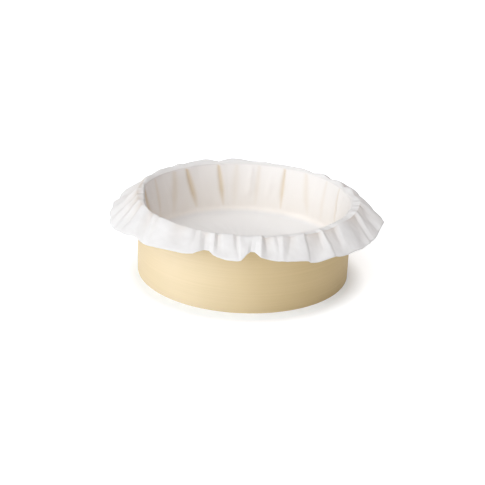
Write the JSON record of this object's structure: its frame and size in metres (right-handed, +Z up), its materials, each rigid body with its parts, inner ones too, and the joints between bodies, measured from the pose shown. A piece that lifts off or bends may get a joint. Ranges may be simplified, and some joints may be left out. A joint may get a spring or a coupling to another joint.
{
  "type": "paper baking ring",
  "caption": "Round open paperboard ring with a pleated baking-paper liner hung inside it; the liner has a flat floor and a ruffled edge folded out over the ring's rim.",
  "frame": {"origin": "middle of the ring's bottom edge, on the table", "axes": "+Z up along the ring's axis; -Y is the front that faces the camera in the picture"},
  "size_m": [0.2046, 0.204, 0.0608],
  "materials": {
    "ring_board": "smooth cream-tan board with fine streaks round the ring and a soft sheen",
    "baking_paper": "matt white baking paper, thin enough for the board to warm it slightly"
  },
  "bodies": {
    "root": {"ring_band": "ring_board", "liner": "baking_paper"}
  },
  "joints": []
}
